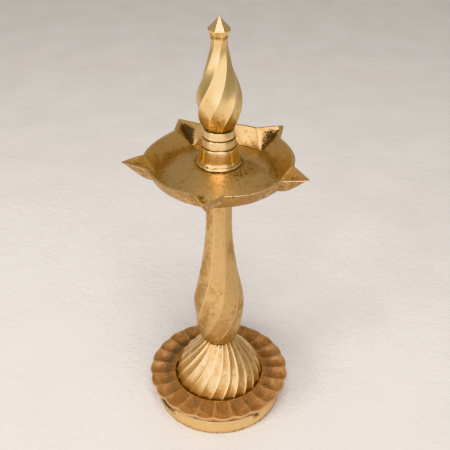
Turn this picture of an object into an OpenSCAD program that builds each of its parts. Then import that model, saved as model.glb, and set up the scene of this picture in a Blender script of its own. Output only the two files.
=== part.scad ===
// Brass standing oil lamp with five wick beaks, built as a stack of screwed sections.
// Millimetres, +Z up. The origin is the centre of the foot, on the surface the lamp stands on.

/* [Foot and tray] */
// Outer radius of the foot ring
foot_r = 47.4; // [46.5:0.1:47.8]
// Height of the foot ring
foot_h = 13.2; // [12:0.1:14]
// Wall of the foot ring
foot_wall = 4.4; // [3.5:0.1:5]
// Outer radius of the tray's petals
tray_r = 53.3; // [51:0.1:55]
// Height of the petals' outer edge
tray_rim_z = 22.4; // [21.5:0.1:23]
// Number of petals
petals = 23; // [20:1:24]
// Depth of each petal's hollow
petal_depth = 1.7; // [1:0.1:2]

/* [Dome] */
// Radius of the dome at its foot
dome_r = 33.3; // [32:0.1:33.6]
// Radius of the dome's flat top
dome_top_r = 10.8; // [10.6:0.1:11.5]
// Height of the dome's top above the floor
dome_top_z = 55; // [54:0.5:57]
// Number of spiral flutes
flutes = 23; // [16:1:26]
// Turn of a flute from foot to top, in degrees
flute_turn = 29; // [0:1:40]
// Depth of a flute at the foot
flute_depth = 1.5; // [0.5:0.1:1.8]
// Direction of the first flute's ridge at the dome's top, in degrees from +X
flute_start = 4.8; // [-180:0.1:180]

/* [Stem] */
// Height of the stem
stem_h = 145; // [140:1:150]
// Radius at the corners of the stem's belly
belly_r = 18.4; // [17:0.1:20]
// Radius at the corners of the stem's waist
waist_r = 9.2; // [8.8:0.1:10]
// Number of flat facets, on the stem and on the finial
facets = 8; // [6:1:10]
// Turn of the facets from the stem's foot to its waist, in degrees
stem_turn = 80; // [0:1:90]
// Swell of the stem's facets, from flat to round
stem_crown = 0.35; // [0:0.05:1]

/* [Pan] */
// Number of wick beaks
beaks = 5; // [4:1:5]
// Direction of the first beak, in degrees from +X
beak_start = -99.25; // [-180:0.25:180]
// Radius from the axis to a beak's tip
beak_r = 63.3; // [58:0.1:66]
// Radius of the rim between the beaks
rim_r = 48.9; // [47:0.1:51]
// Radius of the floor at its crease
crease_r = 40; // [39:0.1:41]
// Thickness of the pan's wall
pan_wall = 1.8; // [1.5:0.1:2]
// Depth from the rim to the crease
pan_depth = 12; // [10:0.1:13]
// Rise of the floor from the crease to the collar's seat
floor_rise = 7; // [5:0.1:7.5]
// Half of the angle that a beak takes of the rim, in degrees
beak_half = 12.6; // [10:0.1:15]
// Sag of the rim between two beaks, below the beaks' tips
rim_sag = 1.8; // [0:0.1:2.5]
// Swell of a beak's keel below the straight line from its foot to its tip
keel_swell = 3.6; // [0:0.1:4]

/* [Collar and finial] */
// Radius of the collar's flared lip
collar_r = 14.6; // [14:0.1:15]
// Height of the collar
collar_h = 24.7; // [24:0.1:26]
// Height of the finial
finial_h = 70.4; // [68:0.1:74]
// Radius at the corners of the finial's bulb
bulb_r = 14.5; // [13.5:0.1:15.5]
// Turn of the facets from the finial's foot to its tip, in degrees
finial_turn = 124; // [0:1:160]

/* [Screws] */
// Radius of the stud between the base and the stem
base_stud_r = 4.76; // [4:0.01:5]
// Length of that stud in the stem
base_engaged = 13; // [8:0.5:14]
// Radius of the stud between the stem and the collar
pan_stud_r = 3.97; // [3.5:0.01:4.2]
// Length of that stud in the collar
pan_engaged = 9; // [6:0.5:10]
// Radius of the stud between the collar and the finial
finial_stud_r = 3.17; // [2.8:0.01:3.4]
// Length of that stud in the collar's top
finial_engaged = 10.5; // [6:0.5:10.5]
// Radial gap between a stud and the hole that it screws into
thread_gap = 0.05; // [0.02:0.01:0.1]

/* [Hidden] */
$fn = 96;

brass = [0.80, 0.60, 0.30];
pale_brass = [0.86, 0.72, 0.46];
dull_brass = [0.66, 0.44, 0.20];
bright_brass = [0.88, 0.70, 0.36];
washer_brass = [0.62, 0.47, 0.24];
steel = [0.55, 0.54, 0.52];
leather = [0.35, 0.22, 0.13];

// Heights of the joints between the sections
tray_seat_z = 17.6;                       // floor of the tray, where the dome stands
tray_under_z = 14.6;                      // underside of the tray's floor
washer_t = 0.8;                           // thickness of the washers between sections
stem_top_z = dome_top_z + stem_h;
boss_h = 2.7;                             // boss under the pan that sits on the stem
floor_t = 2.2;                            // thickness of the pan's floor
seat_z = stem_top_z + boss_h + floor_t;   // top of the pan's floor at the collar
crease_z = seat_z - floor_rise;
rim_z = crease_z + pan_depth;
collar_top_z = seat_z + collar_h;
tip_z = collar_top_z + finial_h;

// Sizes that repeat
clear_gap = 0.3;                          // gap round a stud where it only passes through
seat_r = 15.2;                            // flat of the pan's floor under the collar
boss_r = 11.2;
petal_foot_r = 36.8;                      // inner end of the petals
petal_foot_z = tray_rim_z - 1.2;
seal_t = 1;                               // thickness of the leather seal under the collar
facet_points = 4;                         // points along one facet, on the stem
bulb_points = 3;                          // points along one facet, on the finial
flute_points = 4;                         // points along one flute
petal_points = 4;                         // points along one petal
end_gap = 0.5;                            // space past a stud's end

// ---- Curves ----

// Point at t on a cubic curve with the four control points p
function cubic(p, t) = pow(1 - t, 3) * p[0] + 3 * t * pow(1 - t, 2) * p[1]
    + 3 * t * t * (1 - t) * p[2] + pow(t, 3) * p[3];

// Points along a chain of cubic curves, with n steps in each
function chain(curves, n) = [
    for (c = [0 : len(curves) - 1], i = [0 : n - 1]) cubic(curves[c], i / n),
    curves[len(curves) - 1][3]
];

// Radius of a section with sides of given corner radius, at angle a from a corner.
// A crown of 0 keeps the sides flat, and a crown of 1 swells them to a circle.
function side_r(corner_r, sides, a, crown) =
    let (part = 360 / sides, off = a - part * floor(a / part) - part / 2)
    corner_r * (crown + (1 - crown) * cos(part / 2) / cos(off));

// Ring of points at height z, with a point's radius given by the function at(angle)
function ring(z, count, turn, at) = [
    for (j = [0 : count - 1])
        let (a = 360 * j / count)
        [at(a) * cos(a + turn), at(a) * sin(a + turn), z]
];

// Solid skin over a stack of rings that all have the same number of points
module skin(rings) {
    count = len(rings[0]);
    last = len(rings) - 1;
    points = [for (r = rings) each r];
    sides = [
        for (i = [0 : last - 1], j = [0 : count - 1])
            let (k = (j + 1) % count, a = i * count, b = (i + 1) * count)
            each [[a + j, b + j, b + k], [a + j, b + k, a + k]]
    ];
    foot = [for (j = [0 : count - 1]) j];
    head = [for (j = [count - 1 : -1 : 0]) last * count + j];
    polyhedron(points, concat([foot, head], sides));
}

// Closed wall: a chain of rings that runs out along the underside and back over the top,
// and whose last ring joins the first, as in a bowl with a hole
module closed_skin(rings) {
    count = len(rings[0]);
    total = len(rings);
    points = [for (r = rings) each r];
    faces = [
        for (i = [0 : total - 1], j = [0 : count - 1])
            let (k = (j + 1) % count, a = i * count, b = ((i + 1) % total) * count)
            each [[a + j, b + j, b + k], [a + j, b + k, a + k]]
    ];
    polyhedron(points, faces);
}

// ---- Foot and tray ----

// Turned ring that the lamp stands on, whose outer face rounds in towards its top
module foot_ring() {
    chamfer = 0.5;
    upright = 2.4;                        // height of the upright part of the outer face
    draw_in = 2.9;
    steps = 8;
    side = [
        for (i = [0 : steps])
            let (t = i / steps)
            [foot_r - draw_in * t * t, upright + (foot_h - upright) * t]
    ];
    color(bright_brass)
        rotate_extrude()
            polygon(concat(
                [[foot_r - foot_wall, 0], [foot_r - chamfer, 0], [foot_r, chamfer]],
                side,
                [[foot_r - foot_wall, foot_h]]
            ));
}

// Ring of points round the tray. It sinks by dip in the middle of each petal,
// and is drawn in by notch between the petals.
function petal_ring(r, z, dip, notch) = [
    for (j = [0 : petals * petal_points - 1])
        let (
            a = 360 * j / (petals * petal_points),
            swell = abs(sin(petals * a / 2)),
            p = r - notch * (1 - swell)
        )
        [p * cos(a), p * sin(a), z - dip * swell]
];

// Cast tray with a ring of petals round the dome
module petal_tray() {
    lip_r = 34.4;
    rim_t = 2.4;
    skirt_r = 48;
    hole_r = 3;
    notch = 1.3;
    spigot_r = foot_r - foot_wall - 0.1;
    spigot_wall = 3.2;
    spigot_h = 2.5;
    mid_z = (petal_foot_z + tray_rim_z) / 2;
    color(dull_brass)
        difference() {
            closed_skin([
                petal_ring(hole_r, tray_under_z, 0, 0),
                petal_ring(spigot_r - spigot_wall, tray_under_z, 0, 0),
                petal_ring(spigot_r - spigot_wall, foot_h - spigot_h, 0, 0),
                petal_ring(spigot_r, foot_h - spigot_h, 0, 0),
                petal_ring(spigot_r, foot_h, 0, 0),
                petal_ring(skirt_r, foot_h, 0, 0),
                petal_ring(tray_r - 0.3, tray_rim_z - rim_t, 0.5, notch),
                petal_ring(tray_r, tray_rim_z, 0.5, notch),
                petal_ring(49, tray_rim_z - 0.2, petal_depth - 0.3, 0.4),
                petal_ring(44, mid_z, petal_depth, 0),
                petal_ring(40, petal_foot_z, petal_depth - 0.3, 0),
                petal_ring(petal_foot_r, petal_foot_z, 0.3, 0),
                petal_ring(lip_r, petal_foot_z - 0.6, 0, 0),
                petal_ring(lip_r, tray_seat_z, 0, 0),
                petal_ring(hole_r, tray_seat_z, 0, 0)
            ]);
            translate([0, 0, tray_under_z - 1])
                cylinder(h = tray_seat_z - tray_under_z + 2, r = base_stud_r + clear_gap);
        }
}

// ---- Dome ----

bell = [[dome_r, tray_seat_z], [dome_r - 0.3, 33], [22, 41], [dome_top_r, dome_top_z]];

// Flutes' turn at height z
function flute_twist(z) = flute_start + flute_turn * (z - dome_top_z) / (dome_top_z - tray_seat_z);

// Ring of the dome's outside, where the curve has come to point p
function fluted_ring(p) =
    let (deep = flute_depth * pow(p[0] / dome_r, 1.2))
    ring(p[1], flutes * flute_points, flute_twist(p[1]),
        function (a) p[0] - deep * sqrt(abs(sin(flutes * a / 2))));

// Ring of the dome's inside
function plain_ring(r, z) = ring(z, flutes * flute_points, 0, function (a) r);

// Cast dome with spiral flutes, hollow inside
module dome() {
    levels = 14;
    hollow_levels = 5;
    wall = 4.2;
    cap_t = 7;
    hole_r = 3;
    hollow_share = 0.78;
    color(pale_brass)
        difference() {
            closed_skin(concat(
                [for (i = [0 : levels]) fluted_ring(cubic(bell, i / levels))],
                [plain_ring(hole_r, dome_top_z), plain_ring(hole_r, dome_top_z - cap_t)],
                [
                    for (i = [hollow_levels : -1 : 0])
                        let (p = cubic(bell, hollow_share * i / hollow_levels))
                        plain_ring(p[0] - wall, p[1])
                ]
            ));
            cylinder(h = dome_top_z + 1, r = base_stud_r + 0.02);
            translate([0, 0, dome_top_z - washer_t])
                cylinder(h = 2 * washer_t, r = 8.8);
        }
}

// ---- Parts that hold the sections together ----

// Brass stud from below the tray up into the stem
module base_stud() {
    foot_z = 7;
    color(washer_brass)
        translate([0, 0, foot_z])
            cylinder(h = dome_top_z + base_engaged - foot_z, r = base_stud_r);
}

// Washer under the tray's floor
module base_washer() {
    color(steel)
        translate([0, 0, tray_under_z - 1.2])
            difference() {
                cylinder(h = 1.2, r = 11);
                translate([0, 0, -1])
                    cylinder(h = 4, r = base_stud_r + clear_gap);
            }
}

// Hexagon nut that clamps the tray to the dome
module base_nut() {
    across_flats = 15.9;
    height = 5;
    corner_r = across_flats / 2 / cos(30);
    color(steel)
        translate([0, 0, tray_under_z - 1.2 - height])
            difference() {
                intersection() {
                    cylinder(h = height, r = corner_r, $fn = 6);
                    cylinder(h = height, r1 = corner_r - 0.8, r2 = corner_r + 1.8);
                }
                translate([0, 0, -1])
                    cylinder(h = height + 2, r = base_stud_r + 0.02);
            }
}

// Flat ring between two sections
module flat_washer(bottom_z, inner, outer, thick) {
    translate([0, 0, bottom_z])
        difference() {
            cylinder(h = thick, r = outer);
            translate([0, 0, -1])
                cylinder(h = thick + 2, r = inner);
        }
}

module stem_washer() {
    color(washer_brass) flat_washer(dome_top_z - washer_t, base_stud_r + clear_gap, 8.4, washer_t);
}

module finial_washer() {
    color(washer_brass) flat_washer(collar_top_z - washer_t, finial_stud_r + clear_gap, 6.6, washer_t);
}

// Leather ring that keeps the oil in where the stud comes through the pan
module pan_seal() {
    color(leather) flat_washer(seat_z, pan_stud_r + clear_gap, 10, seal_t);
}

// Stud that is fixed in the stem's top and carries the pan and the collar
module pan_stud() {
    sunk = 16;
    color(washer_brass)
        translate([0, 0, stem_top_z - sunk])
            cylinder(h = sunk + seat_z - stem_top_z + seal_t + pan_engaged, r = pan_stud_r);
}

// Stud that is fixed in the finial's foot
module finial_stud() {
    sunk = 13;
    color(washer_brass)
        translate([0, 0, collar_top_z - finial_engaged])
            cylinder(h = finial_engaged + sunk, r = finial_stud_r);
}

// ---- Stem ----

// Facets' turn at height z: most of it is near the foot, and the waist is straight
function stem_twist(z) = 27 - 90 - stem_turn * exp(-(z - dome_top_z - 5) / 28);

// Faceted twisted stem, with a blind hole at each end
module stem() {
    steps = 8;
    foot_r1 = 9.8;
    belly_z = dome_top_z + 35;
    curves = [
        [[foot_r1, dome_top_z], [14.2, dome_top_z + 2], [16.4, dome_top_z + 8], [17.1, dome_top_z + 17]],
        [[17.1, dome_top_z + 17], [17.7, dome_top_z + 24], [belly_r, belly_z - 6], [belly_r, belly_z]],
        [[belly_r, belly_z], [belly_r, belly_z + 8], [15.4, belly_z + 18], [13.4, belly_z + 30]],
        [[13.4, belly_z + 30], [11.6, belly_z + 42], [waist_r, belly_z + 56], [waist_r, belly_z + 76]],
        [[waist_r, belly_z + 76], [waist_r, belly_z + 88], [waist_r, belly_z + 100], [9.9, stem_top_z]]
    ];
    color(brass)
        difference() {
            skin([
                for (p = chain(curves, steps))
                    ring(p[1], facets * facet_points, stem_twist(p[1]),
                        function (a) side_r(p[0], facets, a, stem_crown))
            ]);
            translate([0, 0, dome_top_z - 1])
                cylinder(h = base_engaged + end_gap + 1, r = base_stud_r + thread_gap);
            translate([0, 0, stem_top_z - 16 - end_gap])
                cylinder(h = 16 + end_gap + 1, r = pan_stud_r + 0.02);
        }
}

// ---- Pan ----

// Height of the pan's floor at radius r
function floor_z(r) = r < seat_r ? seat_z
    : seat_z - floor_rise * pow((r - seat_r) / (crease_r - seat_r), 1.5);

// Steps round one beak and round the wall between two beaks
beak_steps = 8;
wall_steps = 10;
sector_steps = beak_steps + wall_steps;
keel_half = 1.6;                          // half of a keel's rounded foot, in degrees

// Place of step k in its sector: in a beak from -1 to 1, or in the wall from 0 to 1
function in_beak(k) = k < beak_steps;
function beak_at(k) = -1 + 2 * k / beak_steps;
function wall_at(k) = (k - beak_steps) / wall_steps;

// Angle of a foot point of the wall, in step k of a sector
function foot_angle(k) = in_beak(k) ? keel_half * beak_at(k)
    : keel_half + (360 / beaks - 2 * keel_half) * wall_at(k);

// Rim point in step k of a sector, for a rim of radius r, tip radius t and beak half angle h
function rim_point(k, r, t, h) = in_beak(k)
    ? let (u = abs(beak_at(k)), side = sign(beak_at(k)), corner = r * [cos(h), side * sin(h)])
        u * corner + (1 - u) * [t, 0]
    : let (a = h + (360 / beaks - 2 * h) * wall_at(k)) r * [cos(a), sin(a)];

// How far the rim lies below the beaks' tips in step k of a sector
function sag(k) = rim_sag / 2 * (in_beak(k) ? pow(beak_at(k), 2) : 1 + sin(180 * wall_at(k)));

// How much of the keels' swell the wall has in step k of a sector
function fullness(k) = in_beak(k) ? 1 - 0.5 * pow(beak_at(k), 2) : 0.15 + 0.35 * (1 - sin(180 * wall_at(k)));

// Ring of points round the pan, a share s of the way from the foot circle to the rim.
// The beaks' keels lie lower than a straight line by swell.
function pan_ring(foot, z0, r, t, h, z1, s, swell = 0) = [
    for (b = [0 : beaks - 1], k = [0 : sector_steps - 1])
        let (
            turn = beak_start + 360 * b / beaks,
            low = foot * [cos(foot_angle(k)), sin(foot_angle(k))],
            p = (1 - s) * low + s * rim_point(k, r, t, h),
            drop = swell * fullness(k) * 4 * s * (1 - s)
        )
        [p[0] * cos(turn) - p[1] * sin(turn), p[0] * sin(turn) + p[1] * cos(turn),
            (1 - s) * z0 + s * (z1 - sag(k)) - drop]
];

// Round ring of the pan's floor or underside
function floor_ring(r, z) = pan_ring(r, z, r, r, beak_half, z, 0);

// Shallow pan whose rim is drawn out into beaks for the wicks
module oil_pan() {
    inner_rim = rim_r - pan_wall;
    inner_half = beak_half - 1.2;
    inner_tip = beak_r - 1.6 * pan_wall;
    outer_foot = crease_r + 1.6;
    outer_foot_z = crease_z - floor_t + 0.6;
    hole_r = 2.5;
    color(brass)
        difference() {
            closed_skin([
                floor_ring(hole_r, stem_top_z),
                floor_ring(boss_r, stem_top_z),
                floor_ring(boss_r, seat_z - floor_t),
                for (r = [19, 26, 33]) floor_ring(r, floor_z(r) - floor_t),
                floor_ring(crease_r - 1, crease_z - floor_t),
                for (s = [0.12, 0.5, 1])
                    pan_ring(outer_foot, outer_foot_z, rim_r, beak_r, beak_half, rim_z, s, keel_swell),
                for (s = [1, 0.5, 0.12, 0.02])
                    pan_ring(crease_r, crease_z, inner_rim, inner_tip, inner_half, rim_z, s),
                floor_ring(crease_r - 1.4, floor_z(crease_r - 1.4)),
                for (r = [35, 30, 25, 20]) floor_ring(r, floor_z(r)),
                floor_ring(seat_r, seat_z),
                floor_ring(hole_r, seat_z)
            ]);
            translate([0, 0, stem_top_z - 1])
                cylinder(h = seat_z - stem_top_z + 2, r = pan_stud_r + clear_gap);
        }
}

// ---- Collar ----

// Turned collar with two grooves, screwed down on the pan
module collar() {
    lip_t = 1.3;
    groove_w = 0.7;
    groove_d = 0.6;
    low_groove = 13.4;
    high_groove = 19.3;
    seal_gap = 0.4;
    color(bright_brass)
        translate([0, 0, seat_z])
            difference() {
                rotate_extrude()
                    polygon([
                        [0, 0], [collar_r - 0.4, 0], [collar_r, 0.5], [collar_r, lip_t], [13.6, lip_t + 1],
                        [12.9, lip_t + 3.2], [11.8, low_groove - groove_w],
                        [11.8 - groove_d, low_groove - 0.3], [11.8 - groove_d, low_groove],
                        [11.5, low_groove + 0.5], [10.7, high_groove - groove_w],
                        [10.7 - groove_d, high_groove - 0.3], [10.7 - groove_d, high_groove],
                        [10.4, high_groove + 0.5], [9.8, collar_h - 0.4], [9.4, collar_h], [0, collar_h]
                    ]);
                translate([0, 0, -1])
                    cylinder(h = 1 + seal_t, r = 10 + seal_gap);
                translate([0, 0, -1])
                    cylinder(h = 1 + seal_t + pan_engaged + end_gap, r = pan_stud_r + thread_gap);
                translate([0, 0, collar_h - washer_t])
                    cylinder(h = 2 * washer_t, r = 7);
                translate([0, 0, collar_h - finial_engaged - end_gap])
                    cylinder(h = finial_engaged + end_gap + 1, r = finial_stud_r + thread_gap);
            }
}

// ---- Finial ----

// Facets' turn at height z
function finial_twist(z) = -25 - 90 + finial_turn * (z - collar_top_z - 9) / finial_h;

// Bulb-shaped finial with spiral facets and a pointed cap
module finial() {
    steps = 9;
    foot = 9.7;
    neck_r = 5.4;
    cap_r = 7.2;
    bulb_z = collar_top_z + 17.4;
    neck_z = collar_top_z + 53;
    cap_z = tip_z - 7.7;
    curves = [
        [[foot, collar_top_z], [12.4, collar_top_z + 4.5], [bulb_r, bulb_z - 8], [bulb_r, bulb_z]],
        [[bulb_r, bulb_z], [bulb_r, bulb_z + 11], [7.4, bulb_z + 21], [neck_r, neck_z]],
        [[neck_r, neck_z], [5.2, neck_z + 4], [5.3, cap_z - 3.5], [cap_r, cap_z]]
    ];
    tip = [for (s = [0.35, 0.7, 1]) [cap_r * (1 - s) + 0.3 * s, cap_z + (tip_z - cap_z) * s]];
    color(bright_brass)
        difference() {
            skin([
                for (p = concat(chain(curves, steps), tip))
                    ring(p[1], facets * bulb_points, finial_twist(min(p[1], cap_z)),
                        function (a) side_r(p[0], facets, a, 0))
            ]);
            translate([0, 0, collar_top_z - 1])
                cylinder(h = 13 + end_gap + 1, r = finial_stud_r + 0.02);
        }
}

foot_ring();
petal_tray();
dome();
base_stud();
base_washer();
base_nut();
stem_washer();
stem();
pan_stud();
oil_pan();
pan_seal();
collar();
finial_washer();
finial_stud();
finial();
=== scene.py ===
"""Brass standing oil lamp: a stack of turned, cast and carved brass sections held by screws.

Every length is in millimetres until a mesh is finished, and the finished meshes are in metres in
the lamp's own frame: +Z up along the stack, the floor at z = 0, and the camera on the -Y side.
"""

from __future__ import annotations

import logging
import math
from abc import ABC, abstractmethod
from dataclasses import dataclass, field
from enum import Enum
from typing import Any, Callable, Mapping, Optional, Sequence, Union

import bmesh
import bpy
from mathutils import Matrix, Vector, noise

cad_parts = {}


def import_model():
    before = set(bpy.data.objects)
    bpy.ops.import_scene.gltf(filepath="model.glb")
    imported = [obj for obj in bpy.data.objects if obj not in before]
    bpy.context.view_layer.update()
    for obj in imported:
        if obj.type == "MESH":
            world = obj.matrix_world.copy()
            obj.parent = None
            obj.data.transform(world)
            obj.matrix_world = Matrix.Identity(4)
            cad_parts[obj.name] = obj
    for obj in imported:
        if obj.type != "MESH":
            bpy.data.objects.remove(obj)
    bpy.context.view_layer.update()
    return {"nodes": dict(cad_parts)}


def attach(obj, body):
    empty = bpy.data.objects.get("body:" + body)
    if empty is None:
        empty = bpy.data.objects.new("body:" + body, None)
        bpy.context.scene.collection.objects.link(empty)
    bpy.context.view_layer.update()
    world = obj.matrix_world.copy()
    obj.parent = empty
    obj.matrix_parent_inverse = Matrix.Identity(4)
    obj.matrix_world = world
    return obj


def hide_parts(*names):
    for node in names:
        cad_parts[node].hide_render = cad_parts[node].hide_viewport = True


MM = 0.001
MM_PER_M = 1000
TAU = 2 * math.pi
COLUMNS_PER_FLUTE = 12
SOFT_EDGE_DEG = 40
THREAD_EDGE_DEG = 60
NUT_EDGE_DEG = 25
SLIGHT_CORNER_DEG = 12

# Sockets of the Mix node, whose names are the same for numbers and colours.
MIX_FACTOR, MIX_FIRST, MIX_SECOND, MIX_RESULT = 0, 6, 7, 2

Point = tuple[float, float]
Place = tuple[float, float, float]
Colour = tuple[float, float, float]
Ring = tuple[float, float, float, float]

log = logging.getLogger("oil_lamp")


# ---- Curves and small sums ----


def cubic(control: Sequence[Point], t: float) -> Point:
    """Returns the point at t on a cubic curve.

    Args:
        control: the curve's four control points.
        t: place along the curve, from 0 to 1.

    Returns:
        The point there.
    """
    s = 1 - t
    weights = (s**3, 3 * t * s**2, 3 * t**2 * s, t**3)
    return (
        sum(w * p[0] for w, p in zip(weights, control)),
        sum(w * p[1] for w, p in zip(weights, control)),
    )


def chain(curves: Sequence[Sequence[Point]], steps: int) -> list[Point]:
    """Returns points along a chain of cubic curves.

    Args:
        curves: the curves, each starting where the last one ends.
        steps: steps in each curve.

    Returns:
        The points, from the first curve's start to the last one's end.
    """
    points = [cubic(curve, i / steps) for curve in curves for i in range(steps)]
    return points + [curves[-1][3]]


def span(start: Point, end: Point, steps: int) -> list[Point]:
    """Returns steps points from start towards end, without end itself."""
    return [
        (start[0] + (end[0] - start[0]) * i / steps, start[1] + (end[1] - start[1]) * i / steps)
        for i in range(steps)
    ]


def eased(
    profile: Sequence[Point], radius: float, closed: bool = False, steps: int = 3
) -> list[Point]:
    """Rounds the corners of a profile.

    Args:
        profile: the profile's points.
        radius: how far from a corner its rounding starts.
        closed: whether the last point joins the first.
        steps: steps in each rounding.

    Returns:
        The rounded profile.
    """
    count = len(profile)
    out: list[Point] = []
    for i, corner in enumerate(profile):
        if not closed and i in (0, count - 1):
            out.append(corner)
            continue
        here = Vector(corner)
        back, ahead = Vector(profile[i - 1]) - here, Vector(profile[(i + 1) % count]) - here
        turn = math.degrees(math.pi - back.angle(ahead))
        if turn < SLIGHT_CORNER_DEG:
            out.append(corner)
            continue
        reach = min(radius, back.length * 0.45, ahead.length * 0.45)
        start = here + back.normalized() * reach
        end = here + ahead.normalized() * reach
        for k in range(steps + 1):
            t = k / steps
            p = start * (1 - t) ** 2 + here * 2 * t * (1 - t) + end * t**2
            out.append((p.x, p.y))
    return out


def smooth_step(low: float, high: float, x: float) -> float:
    """Rises smoothly from 0 at low to 1 at high."""
    t = min(max((x - low) / (high - low), 0.0), 1.0)
    return t * t * (3 - 2 * t)


def bell(x: float, width: float) -> float:
    """A bump of height 1 at x = 0 that fades over width."""
    return math.exp(-((x / width) ** 2))


def polygon_radius(corner: float, sides: int, angle: float, crown: float) -> float:
    """Radius of a section with swelled flat sides.

    Args:
        corner: radius at the corners.
        sides: number of sides.
        angle: angle from a corner, in radians.
        crown: 0 for flat sides, 1 for a full circle, below 0 for hollow sides.

    Returns:
        The radius at that angle.
    """
    part = TAU / sides
    off = angle % part - part / 2
    return corner * (crown + (1 - crown) * math.cos(part / 2) / math.cos(off))


def crowded(u: float, share: float) -> float:
    """Moves a place u between two ridges, from 0 to 1, towards the nearer ridge."""
    return u - share * math.sin(TAU * u) / TAU


# ---- Shader nodes ----


class Wire:
    """A shader socket that takes part in Python arithmetic."""

    def __init__(self, recipe: "Recipe", socket: bpy.types.NodeSocket) -> None:
        """Wraps a socket of a recipe's node."""
        self.recipe = recipe
        self.socket = socket

    def _math(
        self, operation: str, first: "Value", second: "Value", clamp: bool = False
    ) -> "Wire":
        """Adds a Math node and returns its result."""
        settings = {"operation": operation, "use_clamp": clamp}
        return self.recipe.wire("ShaderNodeMath", settings, {0: first, 1: second})

    def __add__(self, other: "Value") -> "Wire":
        """Sum."""
        return self._math("ADD", self, other)

    def __radd__(self, other: "Value") -> "Wire":
        """Sum with a number on the left."""
        return self._math("ADD", other, self)

    def __sub__(self, other: "Value") -> "Wire":
        """Difference."""
        return self._math("SUBTRACT", self, other)

    def __rsub__(self, other: "Value") -> "Wire":
        """Difference from a number on the left."""
        return self._math("SUBTRACT", other, self)

    def __mul__(self, other: "Value") -> "Wire":
        """Product."""
        return self._math("MULTIPLY", self, other)

    def __rmul__(self, other: "Value") -> "Wire":
        """Product with a number on the left."""
        return self._math("MULTIPLY", other, self)

    def clamp(self) -> "Wire":
        """Keeps the value between 0 and 1."""
        return self._math("ADD", self, 0.0, clamp=True)

    def rise(self, low: float, high: float) -> "Wire":
        """Rises smoothly from 0 at low to 1 at high, or falls if low is above high."""
        risen = self.recipe.wire(
            "ShaderNodeMapRange",
            {"interpolation_type": "SMOOTHSTEP", "clamp": True},
            {"Value": self, "From Min": min(low, high), "From Max": max(low, high)},
        )
        return risen if low < high else 1 - risen


Value = Union[Wire, float, Sequence[float]]


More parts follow.
